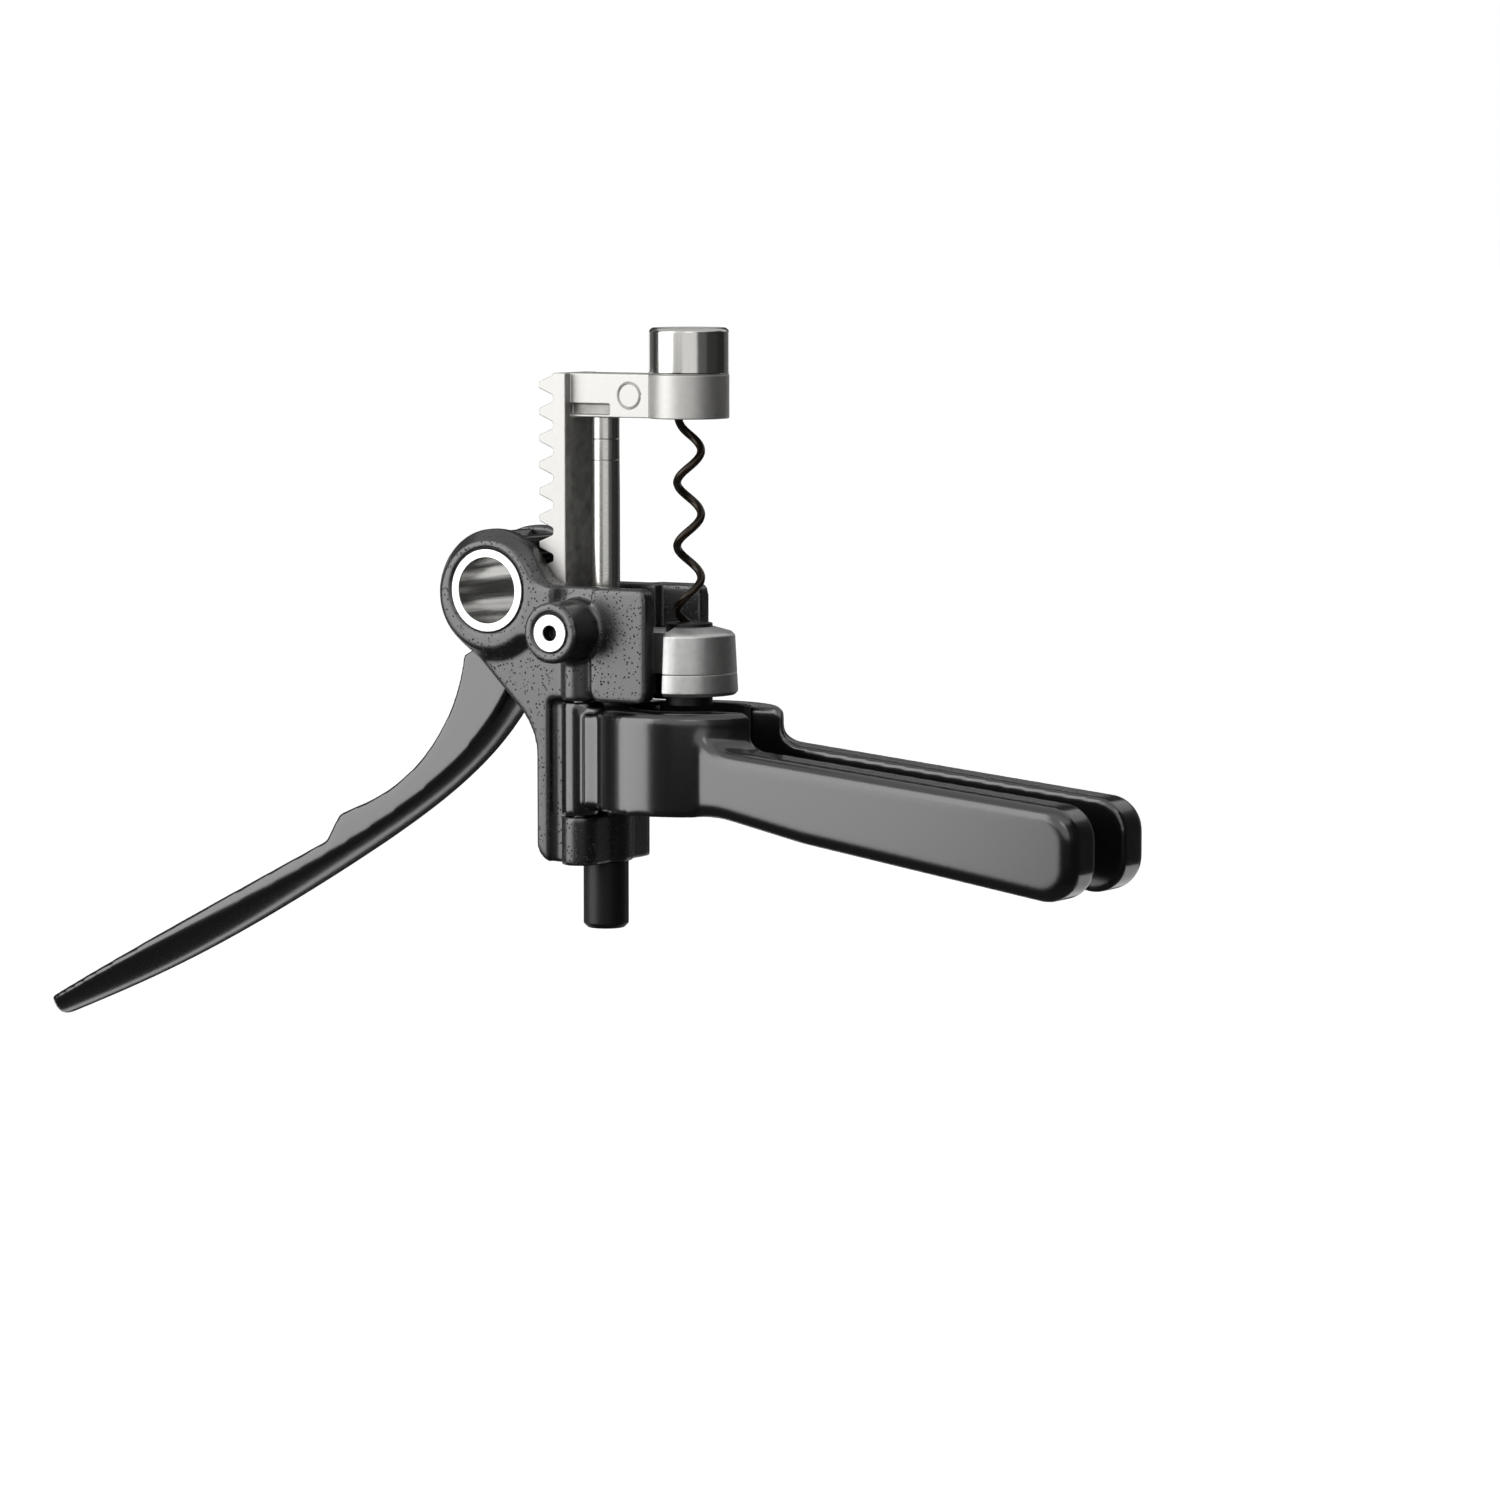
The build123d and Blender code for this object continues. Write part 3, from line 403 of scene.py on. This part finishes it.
# Moulded black nylon: a dull gloss with a spark-eroded grain, drawn coarser than the real one
mouldedNylon, tree, shader, place = startMaterial("mouldedBlackNylon", {
    "Base Color": linear("0e0e0f"), "Roughness": 0.4, "Specular IOR Level": 0.5,
})
spark = addNode(tree, "TexNoise", {"Scale": perMm(0.3), "Detail": 2.0}, {"Vector": (place, "Object")})
gloss = addNode(tree, "MapRange", {"To Min": 0.34, "To Max": 0.48}, {"Value": (spark, 0)})
bump = addNode(tree, "Bump", {"Strength": 0.3, "Distance": 0.02 * mm}, {"Height": (spark, 0)})
tree.links.new(gloss.outputs[0], shader.inputs["Roughness"])
tree.links.new(bump.outputs[0], shader.inputs["Normal"])

# Moulded rubber: matt, slightly grey where it is rubbed
mouldedRubber, tree, shader, place = startMaterial("mouldedBlackRubber", {
    "Base Color": linear("161616"), "Roughness": 0.75, "Specular IOR Level": 0.4,
})
rub = addNode(tree, "TexNoise", {"Scale": perMm(3.0), "Detail": 3.0}, {"Vector": (place, "Object")})
shade = addNode(tree, "Mix", {"data_type": "RGBA", "A": linear("111111"), "B": linear("1d1d1d")},
                {"Factor": (rub, 0)})
bump = addNode(tree, "Bump", {"Strength": 0.25, "Distance": 0.03 * mm}, {"Height": (rub, 0)})
tree.links.new(shade.outputs["Result"], shader.inputs["Base Color"])
tree.links.new(bump.outputs[0], shader.inputs["Normal"])
print("materials ready")


# Pieces keep the CAD shape and get the soft edges of the real casting or turning
meshStyle = {    # sizes in millimetres, angles in degrees
    "mergeWithin": 0.0005, "flatBelow": 0.4, "bevelFrom": 35, "bevelSteps": 3, "smoothBelow": 40,
    "smoothing": 0.5,
}


def activate(thing):
    bpy.ops.object.select_all(action="DESELECT")
    thing.select_set(True)
    bpy.context.view_layer.objects.active = thing


def editMesh(thing):
    activate(thing)
    bpy.ops.object.mode_set(mode="EDIT")
    bpy.ops.mesh.select_all(action="SELECT")


def applyAll(thing):
    activate(thing)
    for modifier in list(thing.modifiers):
        bpy.ops.object.modifier_apply(modifier=modifier.name)


def copyNode(pieceName, spec):
    piece = bpy.data.objects.new(pieceName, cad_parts[spec["node"]].data.copy())
    scene.collection.objects.link(piece)
    editMesh(piece)
    bpy.ops.mesh.remove_doubles(threshold=meshStyle["mergeWithin"] * mm)
    bpy.ops.object.mode_set(mode="OBJECT")
    return piece


def finishPiece(piece, spec):
    piece.data.materials.clear()
    piece.data.materials.append(spec["finish"])
    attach(piece, spec["body"])
    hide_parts(spec["node"])
    print(piece.name, len(piece.data.polygons), "faces")


def smoothSkin(piece, passes, group=""):
    smooth = piece.modifiers.new("smoothSkin", "SMOOTH")
    smooth.factor = meshStyle["smoothing"]
    smooth.iterations = passes
    smooth.vertex_group = group


# How strongly a point is smoothed, from 0 to 1, by its distance from the axle in millimetres
def softnessAt(spec, place):
    x, z = axle
    away = Vector((place.x / mm - x, place.z / mm - z)).length
    for (near, less), (far, more) in zip(spec["softness"], spec["softness"][1:]):
        if near <= away <= far:
            return less + (more - less) * (away - near) / (far - near)
    return 0.0


# A casting has no sharp edge at all: a fine grid over the shape, smoothed a few times
def castSkin(pieceName, spec):
    piece = copyNode(pieceName, spec)
    remesh = piece.modifiers.new("fineGrid", "REMESH")
    remesh.mode = "VOXEL"
    remesh.voxel_size = spec["grid"] * mm
    remesh.use_smooth_shade = True
    applyAll(piece)
    smoothSkin(piece, spec["passes"])
    if spec.get("softness"):
        group = piece.vertex_groups.new(name="arm")
        for vertex in piece.data.vertices:
            group.add([vertex.index], softnessAt(spec, vertex.co), "REPLACE")
        smoothSkin(piece, spec["armPasses"], group.name)
    applyAll(piece)
    finishPiece(piece, spec)


# Turned and machined pieces: flat faces, with every edge broken by a small bevel
def softEdges(pieceName, spec):
    piece = copyNode(pieceName, spec)
    editMesh(piece)
    bpy.ops.mesh.dissolve_limited(angle_limit=radians(meshStyle["flatBelow"]))
    bpy.ops.object.mode_set(mode="OBJECT")
    bevel = piece.modifiers.new("softEdge", "BEVEL")
    bevel.width = spec["edge"] * mm
    bevel.segments = meshStyle["bevelSteps"]
    bevel.limit_method = "ANGLE"
    bevel.angle_limit = radians(meshStyle["bevelFrom"])
    bevel.use_clamp_overlap = False
    bevel.miter_outer = "MITER_ARC"
    applyAll(piece)
    bpy.ops.object.shade_smooth_by_angle(angle=radians(meshStyle["smoothBelow"]))
    weighted = piece.modifiers.new("flatFaces", "WEIGHTED_NORMAL")
    weighted.keep_sharp = True
    applyAll(piece)
    finishPiece(piece, spec)


frameCasting = {"node": "frame_casting", "body": "frame", "slot": "black_casting", "finish": powderCoat,
                "grid": 0.6, "passes": 6}
frontHandle = {"node": "front_handle", "body": "front_handle", "slot": "black_satin", "finish": satinLacquer,
               "grid": 0.6, "passes": 8}
rearHandle = {"node": "rear_handle", "body": "rear_handle", "slot": "black_satin", "finish": satinLacquer,
              "grid": 0.6, "passes": 8}
# The further the lever's arm is from the axle, the more softly its sides run into its crown
leverArm = {
    "node": "lever", "body": "lever", "slot": "black_satin", "finish": satinLacquer,
    "grid": 0.45, "passes": 1, "armPasses": 120,
    "softness": [
        (0, 0.0), (19, 0.0), (40, 0.15), (80, 0.3), (120, 0.5), (165, 0.4), (185, 0.25), (230, 0.2),
    ],
}
rackCarrier = {"node": "rack_carrier", "body": "carrier", "slot": "silver_casting", "finish": satinNickel,
               "edge": 0.35}
nutCarriage = {"node": "nut_carriage", "body": "frame", "slot": "silver_casting", "finish": silverPaint,
               "edge": 0.3}
nutSkirt = {"node": "nut_carriage_skirt", "body": "frame", "slot": "silver_casting", "finish": silverPaint,
            "edge": 0.2}
topCap = {"node": "top_cap", "body": "carrier", "slot": "cap_steel", "finish": polishedSteel, "edge": 0.4}
axleTube = {"node": "axle_tube", "body": "frame", "slot": "axle_steel", "finish": turnedSteel, "edge": 0.25}
axleCollar = {"node": "axle_collar", "body": "frame", "slot": "axle_steel", "finish": turnedSteel,
              "edge": 0.25}
latchPlug = {"node": "latch_plug", "body": "frame", "slot": "axle_steel", "finish": turnedSteel, "edge": 0.3}
guidePost = {"node": "guide_post", "body": "carrier", "slot": "post_steel", "finish": groundSteel,
             "edge": 0.15}
collarLower = {"node": "post_collar_lower", "body": "carrier", "slot": "post_steel", "finish": groundSteel,
               "edge": 0.2}
collarUpper = {"node": "post_collar_upper", "body": "carrier", "slot": "post_steel", "finish": groundSteel,
               "edge": 0.2}
postScrew = {"node": "post_screw", "body": "carrier", "slot": "pin_steel", "finish": brightSteel,
             "edge": 0.1}
guideTube = {"node": "guide_tube", "body": "frame", "slot": "black_plastic", "finish": mouldedNylon,
             "edge": 0.25}
driveNut = {"node": "drive_nut", "body": "frame", "slot": "black_plastic", "finish": mouldedNylon,
            "edge": 0.15}
frontLiner = {"node": "front_jaw_liner", "body": "front_handle", "slot": "liner_rubber",
              "finish": mouldedRubber, "edge": 0.25}
rearLiner = {"node": "rear_jaw_liner", "body": "rear_handle", "slot": "liner_rubber",
             "finish": mouldedRubber, "edge": 0.25}

pieces = {
    "frameCasting": frameCasting, "leverArm": leverArm, "frontHandle": frontHandle, "rearHandle": rearHandle,
    "rackCarrier": rackCarrier, "nutCarriage": nutCarriage, "nutSkirt": nutSkirt, "topCap": topCap,
    "axleTube": axleTube, "axleCollar": axleCollar, "latchPlug": latchPlug, "guidePost": guidePost,
    "collarLower": collarLower, "collarUpper": collarUpper, "postScrew": postScrew, "guideTube": guideTube,
    "driveNut": driveNut, "frontLiner": frontLiner, "rearLiner": rearLiner,
}
for pieceName, spec in pieces.items():
    if spec.get("grid"):
        castSkin(pieceName, spec)
    else:
        softEdges(pieceName, spec)


# Faces of a piece that have a finish of their own
def refinish(pieceName, finish, chosen):
    mesh = bpy.data.objects[pieceName].data
    mesh.materials.append(finish)
    for face in mesh.polygons:
        if chosen(face):
            face.material_index = 1


# The plug's socket is dark inside: on its floor the dark pin end, on its walls painted shade
plugSocket = {"radius": 2.2, "below": 0.3}
plugFront = min(vertex.co.y for vertex in bpy.data.objects["latchPlug"].data.vertices)


def inSocket(face):
    x, z = latchAxis
    fromAxis = Vector((face.center.x - x * mm, face.center.z - z * mm)).length
    return fromAxis < plugSocket["radius"] * mm and face.center.y > plugFront + plugSocket["below"] * mm


refinish("latchPlug", blackenedSteelAndShade, inSocket)

# The rack's back and the floors of the arm's two recesses get the dark zinc: painted shade in the recesses,
# and on the rack's back partly the bare casting, partly painted shade
darkZincShadePlaces = {"rackBack": -31.0, "recessEnd": -20.0, "recessFloor": 4.2, "within": 0.2, "facing": 0.9}


def getsDarkZincShade(face):
    x, y = face.center.x / mm, abs(face.center.y / mm)
    onBack = face.normal.x > darkZincShadePlaces["facing"] and x < darkZincShadePlaces["rackBack"]
    inRecess = (abs(face.normal.y) > darkZincShadePlaces["facing"] and x < darkZincShadePlaces["recessEnd"]
                and abs(y - darkZincShadePlaces["recessFloor"]) < darkZincShadePlaces["within"])
    return onBack or inRecess


refinish("rackCarrier", darkZincAndShade, getsDarkZincShade)


# Wires: a path along the helix, given its thickness and made a mesh
wireStyle = {"order": 4, "steps": 2, "roundness": 4, "mergeWithin": 0.001, "smoothBelow": 50}


def wireAlong(pieceName, spec, stations):
    bpy.ops.object.select_all(action="DESELECT")
    bpy.ops.curve.primitive_nurbs_path_add()
    wire = bpy.context.object
    wire.name = pieceName
    line = wire.data.splines[0]
    line.points.add(len(stations) - len(line.points))
    for point, (x, y, z, thickness) in zip(line.points, stations):
        point.co = (x * mm, y * mm, z * mm, 1)
        point.radius = thickness
    line.order_u = wireStyle["order"]
    line.use_endpoint_u = True
    line.resolution_u = wireStyle["steps"]
    wire.data.bevel_depth = spec["wire"] * mm
    wire.data.bevel_resolution = wireStyle["roundness"]
    wire.data.use_fill_caps = True
    bpy.ops.object.convert(target="MESH")
    editMesh(wire)
    bpy.ops.mesh.remove_doubles(threshold=wireStyle["mergeWithin"] * mm)
    bpy.ops.mesh.normals_make_consistent(inside=False)
    bpy.ops.object.mode_set(mode="OBJECT")
    bpy.ops.object.shade_smooth_by_angle(angle=radians(wireStyle["smoothBelow"]))
    finishPiece(wire, spec)
    return wire


# Point, helix, and the bend at the top that takes the wire into its spindle
wormWire = {
    "node": "worm", "body": "worm", "slot": "worm_coating", "finish": nonStick, "wire": 1.1, "coil": 3.2,
    "lead": 16.75, "perTurn": 24, "peakHeight": 67.7, "peakAngle": 31.0,
    "tip": 3.0, "pointLength": 4.0, "pointTaper": 0.9, "pointCurve": 1.5,
    "helixTop": 72.6, "bendTop": 78.1, "bendTurn": 55.0, "bendSteps": 6, "end": 82.5,
}


def wormStations(spec):
    def station(angle, height, thickness):
        return (spec["coil"] * cos(radians(angle)), spec["coil"] * sin(radians(angle)), height, thickness)

    def helixAngle(height):
        return spec["peakAngle"] + 360 * (height - spec["peakHeight"]) / spec["lead"]

    stations = []
    helixHeight = spec["helixTop"] - spec["tip"]
    steps = round(helixHeight / spec["lead"] * spec["perTurn"])
    for step in range(steps + 1):
        height = spec["tip"] + helixHeight * step / steps
        blunt = min(1.0, (height - spec["tip"]) / spec["pointLength"])
        thickness = 1 - spec["pointTaper"] * (1 - blunt) ** spec["pointCurve"]
        stations.append(station(helixAngle(height), height, thickness))
    for step in range(1, spec["bendSteps"] + 1):
        share = step / spec["bendSteps"]
        angle = helixAngle(spec["helixTop"]) + spec["bendTurn"] * share * (2 - share)
        height = spec["helixTop"] + (spec["bendTop"] - spec["helixTop"]) * share
        stations.append(station(angle, height, 1))
    stations.append(station(angle, spec["end"], 1))
    return stations


wireAlong("wormWire", wormWire, wormStations(wormWire))

# The spring lies along Y behind the latch's plunger and is squeezed against the plug
latchSpring = {
    "node": "latch_spring", "body": "frame", "slot": "pin_steel", "finish": brightSteel,
    "wire": 0.4, "coil": 2.8, "turns": 4, "perTurn": 20,
    "inner": -16.45, "outer": -23.05, "plugFace": -23.5, "stroke": 1.6,
}


def springStations(spec):
    steps = spec["turns"] * spec["perTurn"]
    x, z = latchAxis
    stations = []
    for step in range(steps + 1):
        angle = radians(360 * step / spec["perTurn"])
        y = spec["inner"] + (spec["outer"] - spec["inner"]) * step / steps
        stations.append((x + spec["coil"] * cos(angle), y, z - spec["coil"] * sin(angle), 1))
    return stations


spring = wireAlong("latchSpring", latchSpring, springStations(latchSpring))
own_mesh(spring)

# Hidden pieces keep their CAD mesh
insideFinish = {
    "hinge_pin_front": brightSteel, "hinge_pin_rear": brightSteel,
    "latch_plunger": brightSteel, "thrust_washer": brightSteel, "worm_spindle": brightSteel,
    "carriage_bush": sinteredBronze, "worm_bearing": sinteredBronze,
}
for node, finish in insideFinish.items():
    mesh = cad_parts[node].data
    mesh.materials.clear()
    mesh.materials.append(finish)
print("pieces ready")
